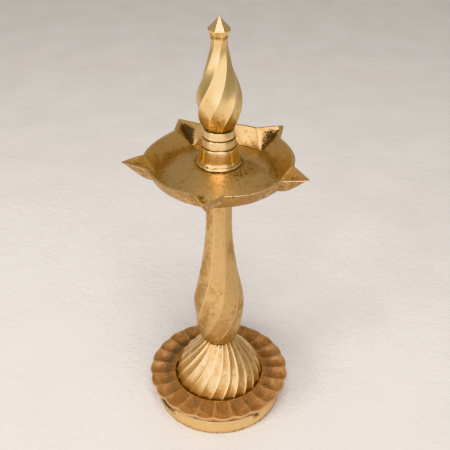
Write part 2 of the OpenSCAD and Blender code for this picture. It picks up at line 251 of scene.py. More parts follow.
class Recipe:
    """A node material under construction."""

    def __init__(self, name: str) -> None:
        """Starts an empty material of that name."""
        self.material = bpy.data.materials.new(name)
        self.material.use_nodes = True
        self.tree = self.material.node_tree
        self.tree.nodes.clear()

    def node(
        self, kind: str, settings: Mapping[str, Any], sockets: Mapping[Union[int, str], Value]
    ) -> bpy.types.Node:
        """Adds a node.

        Args:
            kind: the node's type.
            settings: its settings, which are made before its sockets are filled.
            sockets: the value or the wire of each input socket.

        Returns:
            The node.
        """
        made = self.tree.nodes.new(kind)
        for key, value in settings.items():
            setattr(made, key, value)
        for key, value in sockets.items():
            if isinstance(value, Wire):
                self.tree.links.new(value.socket, made.inputs[key])
            else:
                made.inputs[key].default_value = value
        return made

    def wire(
        self,
        kind: str,
        settings: Mapping[str, Any],
        sockets: Mapping[Union[int, str], Value],
        output: Union[int, str] = 0,
    ) -> Wire:
        """Adds a node as node() does, and returns the wire of one of its outputs."""
        return Wire(self, self.node(kind, settings, sockets).outputs[output])

    def place(self) -> Wire:
        """Coordinates of the lamp's own frame, in metres."""
        return self.wire("ShaderNodeTexCoord", {}, {}, "Object")

    def blank_place(self) -> Wire:
        """Coordinates on the turned blank, before it was twisted and carved."""
        return self.wire("ShaderNodeAttribute", {"attribute_name": "blank"}, {}, "Vector")

    def mark(self, name: str) -> Wire:
        """A mark that the shape left on its surface, such as grime or wear; the grime mark also
        carries painted shade and painted reflection.
        """
        return self.wire("ShaderNodeAttribute", {"attribute_name": name}, {}, "Fac")

    def scaled(self, place: Wire, factors: Place) -> Wire:
        """Stretches or squeezes coordinates along each axis."""
        return self.wire(
            "ShaderNodeVectorMath", {"operation": "MULTIPLY"}, {0: place, 1: factors}
        )

    def height(self, place: Wire) -> Wire:
        """The coordinates' Z."""
        return self.wire("ShaderNodeSeparateXYZ", {}, {0: place}, "Z")

    def radius(self, place: Wire) -> Wire:
        """Distance from the lamp's axis."""
        flat = self.scaled(place, (1, 1, 0))
        return self.wire("ShaderNodeVectorMath", {"operation": "LENGTH"}, {0: flat}, "Value")

    def clouds(
        self, place: Wire, size_mm: float, detail: float = 3, rough: float = 0.55, warp: float = 0
    ) -> Wire:
        """Soft noise whose patches are about size_mm across."""
        sockets = {
            "Vector": place,
            "Scale": MM_PER_M / size_mm,
            "Detail": detail,
            "Roughness": rough,
            "Distortion": warp,
        }
        return self.wire("ShaderNodeTexNoise", {}, sockets)

    def rings(self, along: Wire, size_mm: float, detail: float = 4) -> Wire:
        """Noise in one direction only, as the lines that a lathe tool leaves."""
        return self.wire(
            "ShaderNodeTexNoise",
            {"noise_dimensions": "1D"},
            {"W": along, "Scale": MM_PER_M / size_mm, "Detail": detail, "Roughness": 0.6},
        )

    def pits(self, place: Wire, size_mm: float, share: float) -> Wire:
        """Small round pits, 1 in their middle.

        Args:
            place: coordinates.
            size_mm: distance between neighbouring pits.
            share: how much of that distance a pit takes.

        Returns:
            The mask of the pits.
        """
        sockets = {"Vector": place, "Scale": MM_PER_M / size_mm, "Randomness": 1.0}
        cells = self.node("ShaderNodeTexVoronoi", {}, sockets)
        near = Wire(self, cells.outputs["Distance"])
        chance = Wire(self, cells.outputs["Color"])
        pick = self.wire("ShaderNodeSeparateColor", {}, {0: chance})
        return near.rise(share, share * 0.35) * pick.rise(0.45, 0.8)

    def blend(self, factor: Value, first: Value, second: Value) -> Wire:
        """Mixes two colours."""
        return self.wire(
            "ShaderNodeMix",
            {"data_type": "RGBA", "clamp_factor": True},
            {MIX_FACTOR: factor, MIX_FIRST: rgba(first), MIX_SECOND: rgba(second)},
            MIX_RESULT,
        )

    def bump(self, height: Wire, depth_mm: float, below: Optional[Wire] = None) -> Wire:
        """Turns a height into a normal.

        Args:
            height: the height, in shares of depth_mm.
            depth_mm: the depth of the relief.
            below: a normal that this relief lies on.

        Returns:
            The normal.
        """
        sockets: dict[Union[int, str], Value] = {
            "Height": height,
            "Distance": depth_mm * MM,
            "Strength": 1.0,
        }
        if below is not None:
            sockets["Normal"] = below
        return self.wire("ShaderNodeBump", {}, sockets)

    def finish(
        self, colour: Wire, metal: Value, rough: Value, normal: Wire
    ) -> bpy.types.Material:
        """Joins the parts to a surface shader and returns the material."""
        sockets = {"Base Color": colour, "Metallic": metal, "Roughness": rough, "Normal": normal}
        surface = self.wire("ShaderNodeBsdfPrincipled", {}, sockets)
        self.node("ShaderNodeOutputMaterial", {}, {"Surface": surface})
        return self.material


def rgba(colour: Value) -> Value:
    """Gives a plain colour its alpha, and leaves a wire alone."""
    return colour if isinstance(colour, Wire) else (*colour[:3], 1.0)


# ---- Finishes ----


class Grain(Enum):
    """The marks that a way of working leaves on brass."""

    CAST = "cast"
    TURNED = "turned"
    FILED = "filed"


@dataclass(frozen=True)
class BrassFinish:
    """Brass as it comes from one way of working, with its age.

    Attributes:
        bright: colour of the rubbed metal.
        warm: colour of the browned patches, and of painted shade and painted reflection.
        dirt_and_shade: colour of the grime in hollows, and of painted shade.
        rough: roughness of the rubbed metal.
        dull: roughness that the patches add.
        darkened: share of the surface that has browned, from 0 to 1.
        patch_mm: size of the patches.
        grain: the tool's marks.
        grain_mm: depth of those marks.
        pitted: how strongly the pits show, from 0 to 1.
        metal: how metallic the surface still is, from 0 to 1.
    """

    bright: Colour = (0.84, 0.60, 0.29)
    warm: Colour = (0.54, 0.31, 0.12)
    dirt_and_shade: Colour = (0.050, 0.032, 0.017)
    rough: float = 0.36
    dull: float = 0.12
    darkened: float = 0.4
    patch_mm: float = 16
    grain: Grain = Grain.FILED
    grain_mm: float = 0.03
    pitted: float = 0.5
    metal: float = 1.0

    def material(self, name: str) -> bpy.types.Material:
        """Builds the finish as a material of that name."""
        r = Recipe(name)
        place = r.place()
        blank = r.blank_place()
        # The grime mark holds grime, and also painted shade on the foot ring and a painted
        # reflection on the finial.
        grime_and_shade, wear = r.mark("grime_and_shade"), r.mark("wear")
        patches = r.clouds(place, self.patch_mm, 4, 0.6, 0.6)
        mottle = r.clouds(place, self.patch_mm / 5, 4, 0.65)
        speck = r.clouds(place, 1.1, 3, 0.7)
        pits = r.pits(place, 3.4, 0.16) * self.pitted
        marks = self.marks(r, place, blank)

        spread = self.darkened * 0.36
        # The browning follows random patches and the grime mark, so it also paints that shade and
        # reflection.
        age_and_shade = patches * 0.7 + mottle * 0.3 + grime_and_shade * 0.55 - wear * 0.25
        age_and_shade = age_and_shade.rise(0.68 - spread, 0.84 - spread)
        # The dark mask follows the grime mark, specks and mottling, so it also paints that shade.
        dirt_and_shade = (grime_and_shade - 0.44) * 1.8 + (speck - 0.5) * 3.2 + (mottle - 0.5) * 2.2
        dirt_and_shade = dirt_and_shade.rise(0.0, 0.26)
        rubbed = tuple(min(1.0, c * 1.18 + 0.02) for c in self.bright)
        colour = r.blend(age_and_shade * 0.85, self.bright, self.warm)
        colour = r.blend((marks - 0.5) * 1.3 * (1 - age_and_shade * 0.6), colour, self.warm)
        colour = r.blend((wear * 0.55).clamp(), colour, rubbed)
        colour = r.blend((dirt_and_shade * 0.93).clamp(), colour, self.dirt_and_shade)
        colour = r.blend(pits * 0.75, colour, self.dirt_and_shade)
        metal = (1 - dirt_and_shade * 0.6 - pits * 0.3 - age_and_shade * 0.12) * self.metal
        rough = self.rough + age_and_shade * self.dull + (mottle - 0.5) * 0.10 + (marks - 0.5) * 0.10
        rough = (rough + dirt_and_shade * 0.3).clamp()
        relief = r.bump(marks + pits * -2.2 + speck * 0.22, self.grain_mm)
        relief = r.bump(mottle, self.grain_mm * 2.2, relief)
        return r.finish(colour, metal, rough, relief)

    def marks(self, r: Recipe, place: Wire, blank: Wire) -> Wire:
        """The tool's marks, about 0.5 on average.

        Args:
            r: the recipe to add nodes to.
            place: coordinates of the lamp.
            blank: coordinates on the blank.

        Returns:
            The height of the marks.
        """
        if self.grain is Grain.TURNED:
            lines = r.rings(r.radius(place) + r.height(place), 1.3, 5)
            return lines * 0.7 + r.clouds(place, 2.5, 3, 0.6) * 0.3
        if self.grain is Grain.FILED:
            long = r.scaled(blank, (1, 1, 0.07))
            return r.clouds(long, 1.0, 4, 0.6) * 0.55 + r.clouds(place, 4.0, 3, 0.55) * 0.45
        return r.clouds(place, 1.3, 4, 0.7) * 0.6 + r.clouds(place, 5, 3, 0.6) * 0.4


@dataclass(frozen=True)
class SteelFinish:
    """Plain steel hardware with a little rust.

    Attributes:
        steel: colour of the metal.
        rust: colour of the rust.
        rusted: share that has rusted, from 0 to 1.
    """

    steel: Colour = (0.42, 0.41, 0.40)
    rust: Colour = (0.19, 0.085, 0.035)
    rusted: float = 0.4

    def material(self, name: str) -> bpy.types.Material:
        """Builds the finish as a material of that name."""
        r = Recipe(name)
        place = r.place()
        spread = self.rusted * 0.5
        stain = r.clouds(place, 6, 5, 0.7, 1.0).rise(0.72 - spread, 0.86 - spread)
        fine = r.clouds(place, 0.7, 3, 0.6)
        brushed = r.rings(r.radius(place) + r.height(place), 0.5, 3)
        colour = r.blend(stain * 0.8, self.steel, self.rust)
        rough = (0.32 + stain * 0.4 + (brushed - 0.5) * 0.2).clamp()
        relief = r.bump(brushed * 0.5 + fine * stain, 0.03)
        return r.finish(colour, 1 - stain * 0.75, rough, relief)


@dataclass(frozen=True)
class LeatherFinish:
    """Oil-dark leather of the pan's seal.

    Attributes:
        light: colour of the worn grain.
        dark: colour where the oil has soaked in.
        cells_per_m: cells of the grain in a metre.
    """

    light: Colour = (0.20, 0.10, 0.045)
    dark: Colour = (0.035, 0.018, 0.010)
    cells_per_m: float = 1400.0

    def material(self, name: str) -> bpy.types.Material:
        """Builds the finish as a material of that name."""
        r = Recipe(name)
        place = r.place()
        cells = r.wire(
            "ShaderNodeTexVoronoi",
            {"feature": "DISTANCE_TO_EDGE"},
            {"Vector": place, "Scale": self.cells_per_m},
            "Distance",
        )
        grain = cells.rise(0.0, 0.25)
        soaked = r.clouds(place, 5, 3, 0.6)
        colour = r.blend(soaked.rise(0.35, 0.65) * 0.7, self.light, self.dark)
        colour = r.blend((1 - grain) * 0.6, colour, self.dark)
        return r.finish(colour, 0.0, (0.45 + soaked * 0.3).clamp(), r.bump(grain, 0.08))


@dataclass(frozen=True)
class PaperFinish:
    """Pale sheet of paper that the lamp stands on.

    Attributes:
        pale: colour of the paper.
        shade: colour in its hollows.
    """

    pale: Colour = (0.86, 0.82, 0.79)
    shade: Colour = (0.79, 0.75, 0.72)

    def material(self, name: str) -> bpy.types.Material:
        """Builds the finish as a material of that name."""
        r = Recipe(name)
        place = r.place()
        broad = r.clouds(place, 60, 3, 0.5)
        tooth = r.clouds(place, 2.2, 4, 0.6)
        colour = r.blend(broad.rise(0.3, 0.7) * 0.6 + (tooth - 0.5) * 0.5, self.pale, self.shade)
        creases = r.clouds(place, 9, 4, 0.6, 0.8)
        return r.finish(colour, 0.0, 0.9, r.bump(creases, 0.8, r.bump(tooth, 0.4)))


# ---- Turned blanks ----


@dataclass
class Spot:
    """A point of a blank on its way to the finished surface.

    Attributes:
        station: number of the profile point that it comes from.
        turn: its share of a full turn, from 0 up to 1.
        r: radius, in millimetres.
        angle: direction, in radians.
        z: height, in millimetres.
        grime_and_shade: how much grime lies there, from 0 to 1, with the painted shade on the foot
            ring and the painted reflection on the finial.
        wear: how much it is rubbed bright, from 0 to 1.
    """

    station: int
    turn: float
    r: float
    angle: float
    z: float
    grime_and_shade: float = 0.0
    wear: float = 0.0

    def where(self) -> Vector:
        """The spot's place, in metres."""
        x, y = self.r * math.cos(self.angle), self.r * math.sin(self.angle)
        return Vector((x, y, self.z)) * MM

    def move_to(self, x: float, y: float) -> None:
        """Puts the spot over a place in plan."""
        self.r, self.angle = math.hypot(x, y), math.atan2(y, x)


@dataclass
class Blank:
    """A profile that is spun round the lamp's axis, then carved.

    Attributes:
        profile: radius and height of the profile's points.
        columns: number of points round the axis.
        closed: whether the profile's end joins its start.
    """

    profile: Sequence[Point]
    columns: int
    closed: bool = False

    def turned(self) -> bmesh.types.BMesh:
        """Spins the profile and returns the mesh, with each point's station in a layer."""
        bm = bmesh.new()
        station = bm.verts.layers.int.new("station")
        for i, (r, z) in enumerate(self.profile):
            bm.verts.new((r * MM, 0, z * MM))[station] = i
        chain_verts = list(bm.verts)
        pairs = list(zip(chain_verts, chain_verts[1:]))
        if self.closed:
            pairs.append((chain_verts[-1], chain_verts[0]))
        edges = [bm.edges.new(pair) for pair in pairs]
        bmesh.ops.spin(
            bm,
            geom=chain_verts + edges,
            cent=(0, 0, 0),
            axis=(0, 0, 1),
            angle=TAU,
            steps=self.columns,
            use_merge=True,
        )
        bmesh.ops.remove_doubles(bm, verts=bm.verts, dist=1e-7)
        bmesh.ops.recalc_face_normals(bm, faces=bm.faces)
        return bm

    def carved(self, carve: Callable[[Spot], None]) -> bmesh.types.BMesh:
        """Spins the profile and moves each point to the finished surface.

        Args:
            carve: changes a spot in place.

        Returns:
            The carved mesh, with its marks in layers.
        """
        bm = self.turned()
        station = bm.verts.layers.int["station"]
        blank = bm.verts.layers.float_vector.new("blank")
        # This layer carries grime, and the painted shade and painted reflection that some sections
        # add to it.
        grime_and_shade = bm.verts.layers.float.new("grime_and_shade")
        wear = bm.verts.layers.float.new("wear")
        for vert in bm.verts:
            x, y, z = vert.co / MM
            turn = round(math.atan2(y, x) / TAU * self.columns) % self.columns / self.columns
            spot = Spot(vert[station], turn, math.hypot(x, y), turn * TAU, z)
            vert[blank] = vert.co
            carve(spot)
            vert.co = spot.where()
            vert[grime_and_shade] = min(max(spot.grime_and_shade, 0.0), 1.0)
            vert[wear] = min(max(spot.wear, 0.0), 1.0)
        bmesh.ops.recalc_face_normals(bm, faces=bm.faces)
        return bm


def as_object(
    bm: bmesh.types.BMesh, name: str, material: bpy.types.Material, sharp_deg: float
) -> bpy.types.Object:
    """Turns a mesh into an object at the origin.

    Args:
        bm: the mesh, which is freed.
        name: the object's name.
        material: its material.
        sharp_deg: edges that turn more than this stay sharp.

    Returns:
        The object.
    """
    for face in bm.faces:
        face.smooth = True
    limit = math.radians(sharp_deg)
    for edge in bm.edges:
        edge.smooth = len(edge.link_faces) == 2 and edge.calc_face_angle(0) < limit
    mesh = bpy.data.meshes.new(name)
    bm.to_mesh(mesh)
    bm.free()
    mesh.materials.append(material)
    obj = bpy.data.objects.new(name, mesh)
    bpy.context.scene.collection.objects.link(obj)
    return obj


# ---- The lamp's sections ----


class Body(Enum):
    """The frame's moving bodies that pieces ride on."""

    BASE = "base"
    STEM = "stem"
    PAN = "pan"
    COLLAR = "collar"
    FINIAL = "finial"


@dataclass
class Section(ABC):
    """One piece of metal of the lamp, which replaces the frame's node of the same name."""

    node: str
    body: Body
    finish: Union[BrassFinish, SteelFinish]
    sharp_deg: float = SOFT_EDGE_DEG

    @abstractmethod
    def blank(self) -> Blank:
        """The turned blank."""

    def carve(self, spot: Spot) -> None:
        """Moves a spot of the blank to the finished surface. A turned section leaves it."""

    def build(self) -> bpy.types.Object:
        """Makes the piece, dresses it and hangs it on its body."""
        bm = self.blank().carved(self.carve)
        material = self.finish.material(f"{self.node}_finish")
        piece = as_object(bm, f"{self.node}_brass", material, self.sharp_deg)
        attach(piece, self.body.value)
        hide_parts(self.node)
        log.info("%s: %d faces", piece.name, len(piece.data.polygons))
        return piece


def unevenness(spot: Spot, size_mm: float, seed: float) -> float:
    """Noise of a hand-worked surface at a spot.

    Args:
        spot: the spot.
        size_mm: size of the swells.
        seed: a number that tells one section's swells from another's.

    Returns:
        A value between about -1 and 1.
    """
    return noise.noise(spot.where() / (size_mm * MM) + Vector((seed, seed, seed)))


def facing(spot: Spot, direction: float, width: float) -> float:
    """How much a spot lies towards a direction round the lamp's axis.

    Args:
        spot: the spot.
        direction: the direction, in degrees from +X.
        width: how far round it fades, in degrees.

    Returns:
        1 in that direction, fading to 0.
    """
    return bell((math.degrees(spot.angle) - direction + 180) % 360 - 180, width)


@dataclass
class FootRing(Section):
    """Turned ring that the lamp stands on."""

    radius: float = 47.4
    height: float = 13.2
    wall: float = 4.4
    upright: float = 2.4
    draw_in: float = 2.9
    edge: float = 0.5
    columns: int = 160
    steps: int = 16

    def blank(self) -> Blank:
        """The ring's closed profile."""
        inner = self.radius - self.wall
        profile = [(inner, 0), (self.radius - self.edge, 0), (self.radius, self.edge)]
        profile.append((self.radius, 1.4))
        for i in range(self.steps + 1):
            up = (self.height - self.upright) * i / self.steps
            profile.append((self.radius - self.draw_in * (i / self.steps) ** 2, self.upright + up))
        profile.append((inner, self.height))
        return Blank(eased(profile, self.edge, closed=True), self.columns, closed=True)

    def carve(self, spot: Spot) -> None:
        """Darkens the ring: painted shade in a band under the tray and in a wedge at its front
        left, a darker line near the floor, a blot and a darker front right, and its inner face.
        """
        outside = smooth_step(self.radius - 4.2, self.radius - 3.6, spot.r)
        spot.wear = outside * bell(spot.z - 6, 5) * 0.8
        # Painted shade: the band at the top darkens the ring under the tray's rim; the band at the
        # bottom darkens it near the floor.
        edges = 0.4 * bell(spot.z - self.height, 2.0) + 0.42 * bell(spot.z, 3.0)
        # Painted shade: a dark wedge at the front left, under the tray's overhanging rim.
        darkened = 0.9 * facing(spot, 206, 22) * smooth_step(2, 7, spot.z)
        blot = 0.55 * facing(spot, -52, 5) * bell(spot.z - 9, 3)
        # This sum holds the painted shade, a blot and a slightly darker front right.
        shade = darkened + blot + 0.16 * facing(spot, -35, 30)
        spot.grime_and_shade = 0.75 * (1 - outside) + outside * max(edges, shade)


@dataclass
class PetalTray(Section):
    """Cast tray with a ring of scooped petals round the dome."""

    petals: int = 23
    rim_r: float = 53.3
    rim_z: float = 22.4
    seat_z: float = 17.6
    under_z: float = 14.6
    lip_r: float = 33.6
    petal_r: float = 36.8
    spigot_r: float = 42.9
    foot_z: float = 13.2
    bore: float = 5.06
    depth: float = 2.0
    petal_steps: int = 18
    under_stations: int = 9
    stops: list[Ring] = field(default_factory=list)

    def rings(self) -> list[Ring]:
        """Radius, height, dip and notch of each ring, from the underside over to the top."""
        petal_z = self.rim_z - 1.2
        edge_r = self.rim_r - 0.6
        under = [
            (self.bore, self.under_z, 0, 0),
            (self.spigot_r - 3.2, self.under_z, 0, 0),
            (self.spigot_r - 3.2, self.foot_z - 2.5, 0, 0),
            (self.spigot_r, self.foot_z - 2.5, 0, 0),
            (self.spigot_r, self.foot_z, 0, 0),
            (47.6, self.foot_z, 0, 0),
            (48.4, self.foot_z + 0.5, 0, 0.1),
            (49.9, self.foot_z + 2.6, 0.2, 0.6),
            (51.5, self.foot_z + 4.8, 0.4, 1.0),
            (edge_r, self.rim_z - 2.5, 0.5, 1.3),
            (self.rim_r - 0.1, self.rim_z - 1.6, 0.5, 1.3),
            (self.rim_r, self.rim_z - 0.8, 0.5, 1.3),
            (self.rim_r - 0.15, self.rim_z - 0.25, 0.5, 1.3),
            (edge_r, self.rim_z, 0.55, 1.25),
        ]
        top = []
        for i in range(1, self.petal_steps + 1):
            t = i / self.petal_steps
            r = edge_r - (edge_r - self.petal_r - 0.4) * t
            z = self.rim_z - (self.rim_z - petal_z) * smooth_step(0, 1, t)
            scoop = 0.34 + 0.66 * math.sin(math.pi * min(1.0, t * 1.02)) ** 0.7
            dip = self.depth * scoop * (1 - 0.55 * t**6)
            top.append((r, z, dip, 1.25 * (1 - t) ** 2))
        lip = [
            (self.petal_r, petal_z + 0.02, 0.45, 0),
            (self.petal_r - 0.5, petal_z - 0.25, 0.1, 0),
            (self.petal_r - 1.4, petal_z - 0.45, 0, 0),
            (self.lip_r + 0.3, petal_z - 0.55, 0, 0),
            (self.lip_r, petal_z - 0.85, 0, 0),
            (self.lip_r, self.seat_z, 0, 0),
            (self.bore, self.seat_z, 0, 0),
        ]
        return under + top + lip

    def blank(self) -> Blank:
        """The tray's closed profile."""
        self.stops = self.rings()
        profile = [(r, z) for r, z, _, _ in self.stops]
        return Blank(profile, self.petals * COLUMNS_PER_FLUTE, closed=True)

    def carve(self, spot: Spot) -> None:
        """Scoops the petals and draws the rim in between them."""
        radius, _, dip, notch = self.stops[spot.station]
        number = spot.turn * self.petals
        rib = abs(math.sin(math.pi * number))
        swell = math.sqrt(rib * rib + 0.012) - 0.05
        lean = 0.35 * noise.noise(Vector((math.floor(number) * 3.7, 1.5, 0.3)))
        spot.r = radius - notch * (1 - swell) + lean * min(1.0, notch)
        spot.z -= dip * swell * (1 + 0.5 * lean)
        if spot.z > self.foot_z + 0.2:
            spot.z += 0.12 * unevenness(spot, 5, 3.0)
        top = smooth_step(19.0, 20.0, spot.z) * smooth_step(self.lip_r, self.petal_r, radius)
        spot.wear = top * (1 - smooth_step(0.0, 0.35, rib)) * 0.5
        if dip > 0:
            spot.wear += bell(radius - self.rim_r + 0.3, 0.5) * 0.7
        inner = bell(radius - self.petal_r - 2.5, 4)
        behind = facing(spot, 150, 45)
        spot.grime_and_shade = inner * (0.18 + 0.2 * swell + 0.33 * behind) + 0.12
        if radius <= self.lip_r + 0.1:
            spot.grime_and_shade = 0.45 + 0.5 * behind
        if spot.station < self.under_stations:
            spot.grime_and_shade = 0.5


@dataclass
class Dome(Section):
    """Cast hollow dome with spiral flutes."""

    curve: Sequence[Point] = ((33.3, 17.6), (33.0, 33.0), (22.0, 41.0), (10.8, 55.0))
    flutes: int = 23
    depth: float = 1.5
    start_deg: float = 4.8
    turn_deg: float = 29
    wall: float = 4.2
    levels: int = 64
    bore: float = 4.81
    top_z: float = 55.0
    height: float = 37.4

    def blank(self) -> Blank:
        """The dome's closed profile: up the outside, in across the top, and down the hollow."""
        outer = [cubic(self.curve, i / self.levels) for i in range(self.levels + 1)]
        top = [(10.4, self.top_z), (9.2, self.top_z), (8.85, 54.9)]
        top += [(8.8, 54.2), (self.bore, 54.2), (self.bore, 48.0)]
        hollow = [cubic(self.curve, 0.78 * i / 12) for i in range(12, -1, -1)]
        inner = [(r - self.wall, z) for r, z in hollow]
        return Blank(outer + top + inner, self.flutes * COLUMNS_PER_FLUTE, closed=True)

    def carve(self, spot: Spot) -> None:
        """Cuts the flutes and twists them."""
        if spot.station > self.levels:
            spot.grime_and_shade = 0.55 if spot.station > self.levels + 6 else 0.2
            return
        number = spot.turn * self.flutes
        wave = abs(math.sin(math.pi * number))
        hollow = math.sqrt(math.sqrt(wave * wave + 0.0016)) - 0.2
        deep = self.depth * (spot.r / self.curve[0][0]) ** 1.2
        hand = noise.noise(Vector((math.floor(number + 0.5) * 2.3, spot.z / 14, 0.7)))
        winding = self.turn_deg * (spot.z - self.top_z) / self.height
        spot.angle += math.radians(self.start_deg + winding + 1.1 * hand)
        spot.r -= deep * hollow * (1 + 0.25 * hand)
        spot.r += 0.10 * unevenness(spot, 6, 9.0)
        at_foot, at_top = bell(spot.z - 20.5, 1.3), bell(spot.z - self.top_z, 1.2)
        spot.grime_and_shade = 0.20 * hollow + 0.5 * at_foot + 0.35 * at_top
        spot.wear = (1 - smooth_step(0.0, 0.5, wave)) * 0.8


@dataclass
class FacetedSection(Section):
    """A section with spiral facets."""

    sides: int = 8
    points: int = 14
    crowding: float = 0.75

    @abstractmethod
    def twist(self, z: float) -> float:
        """Direction of the first ridge at height z, in degrees."""

    def facet(self, spot: Spot, crown: float, rounding: float) -> None:
        """Puts a spot on its facet.

        Args:
            spot: the spot.
            crown: swell of the facets, as in polygon_radius.
            rounding: how much of the corner is rubbed off, in millimetres.
        """
        number = spot.turn * self.sides
        index, u = math.floor(number), number - math.floor(number)
        place = crowded(u, self.crowding)
        angle = (index + place) * TAU / self.sides
        corner = min(place, 1 - place)
        spot.r = polygon_radius(spot.r, self.sides, angle, crown)
        spot.r -= rounding * bell(corner, 0.045)
        spot.angle = angle + math.radians(self.twist(spot.z))
        spot.wear = bell(corner, 0.05) * 0.9


@dataclass
class Stem(FacetedSection):
    """Carved stem whose facets wind round its belly and run straight up its waist."""

    foot_z: float = 55.0
    top_z: float = 200.0
    low_bore: Point = (4.81, 68.5)
    high_bore: Point = (3.99, 183.5)
    ridge_deg: float = -63
    wind_deg: float = 80
    wind_from: float = 60
    wind_over: float = 28
    outer_steps: int = 22
    solid_from: int = 3
    top_station: int = 0

    def twist(self, z: float) -> float:
        """Direction of the first ridge at height z, in degrees."""
        fade = math.exp(-(z - self.wind_from) / self.wind_over)
        return self.ridge_deg - self.wind_deg * fade

    def blank(self) -> Blank:
        """The stem's profile with a blind hole at each end."""
        curves = [
            [(9.8, self.foot_z), (14.2, 57), (16.4, 63), (17.1, 72)],
            [(17.1, 72), (17.7, 79), (18.4, 84), (18.4, 90)],
            [(18.4, 90), (18.4, 98), (15.4, 108), (13.4, 120)],
            [(13.4, 120), (11.6, 132), (9.2, 146), (9.2, 166)],
            [(9.2, 166), (9.2, 178), (9.2, 190), (9.9, self.top_z)],
        ]
        outer = chain(curves, self.outer_steps)
        (low_r, low_end), (high_r, high_end) = self.low_bore, self.high_bore
        low = [(0, low_end), self.low_bore, (low_r, self.foot_z)]
        high = [(9.5, self.top_z), (high_r, self.top_z), self.high_bore, (0, high_end)]
        self.top_station = len(low + outer)
        return Blank(low + outer + high, self.sides * self.points)

    def carve(self, spot: Spot) -> None:
        """Files the facets."""
        if not self.solid_from <= spot.station < self.top_station:
            spot.grime_and_shade = 0.5
            return
        self.facet(spot, 0.35, 0.16)
        spot.r += 0.16 * unevenness(spot, 9, 4.0) + 0.07 * unevenness(spot, 3, 7.0)
        spot.wear *= 0.7
        low = 0.34 * bell(spot.z - self.foot_z - 2, 12) + 0.12 * facing(spot, 195, 30)
        ends = 0.2 * bell(spot.z - self.foot_z, 1.6) + 0.4 * bell(spot.z - self.top_z, 2.5)
        spot.grime_and_shade = ends + low + 0.06


@dataclass
class Finial(FacetedSection):
    """Spiral-faceted finial with a pointed cap."""

    foot_z: float = 229.6
    cap_z: float = 292.3
    tip_z: float = 300
    bore: Point = (3.19, 243.1)
    ridge_deg: float = -115
    turn_deg: float = 124
    turn_from: float = 9
    turn_over: float = 70.4
    solid_from: int = 4

    def twist(self, z: float) -> float:
        """Direction of the first ridge at height z, in degrees."""
        up = min(z, self.cap_z) - self.foot_z - self.turn_from
        return self.ridge_deg + self.turn_deg * up / self.turn_over

    def blank(self) -> Blank:
        """The finial's profile with the stud's hole in its foot."""
        curves = [
            [(9.7, self.foot_z), (12.4, 234.1), (14.5, 239), (14.5, 247)],
            [(14.5, 247), (14.5, 258), (7.4, 268), (5.4, 282.6)],
            [(5.4, 282.6), (5.2, 286.6), (5.3, 288.8), (7.2, self.cap_z)],
        ]
        bulb = chain(curves, 26)
        cap = [(7.22, 292.5)] + span((7.1, 292.75), (0.35, 299.8), 12)
        cap += [(0.3, 299.85), (0, self.tip_z)]
        bore_r, bore_end = self.bore
        foot = [(0, bore_end), self.bore, (bore_r, self.foot_z), (9.4, self.foot_z)]
        return Blank(foot + bulb + cap, self.sides * self.points)

    def carve(self, spot: Spot) -> None:
        """Cuts the facets, slightly hollow."""
        if spot.station < self.solid_from or spot.r < 0.01:
            spot.grime_and_shade = 0.4
            return
        hollow = -0.18 * smooth_step(230, 238, spot.z) * (1 - smooth_step(284, 292, spot.z))
        self.facet(spot, hollow, 0.05)
        spot.r += 0.05 * unevenness(spot, 6, 5.0)
        # Painted reflection: the broad band darkens the lower bulb brown where it would mirror the
        # pan's brass floor; the narrow band at the very foot is grime at the joint.
        foot = 0.5 * bell(spot.z - self.foot_z, 1.2) + 0.43 * bell(spot.z - 230, 10)
        spot.grime_and_shade = foot + 0.4 * bell(spot.z - 288.5, 1.6)


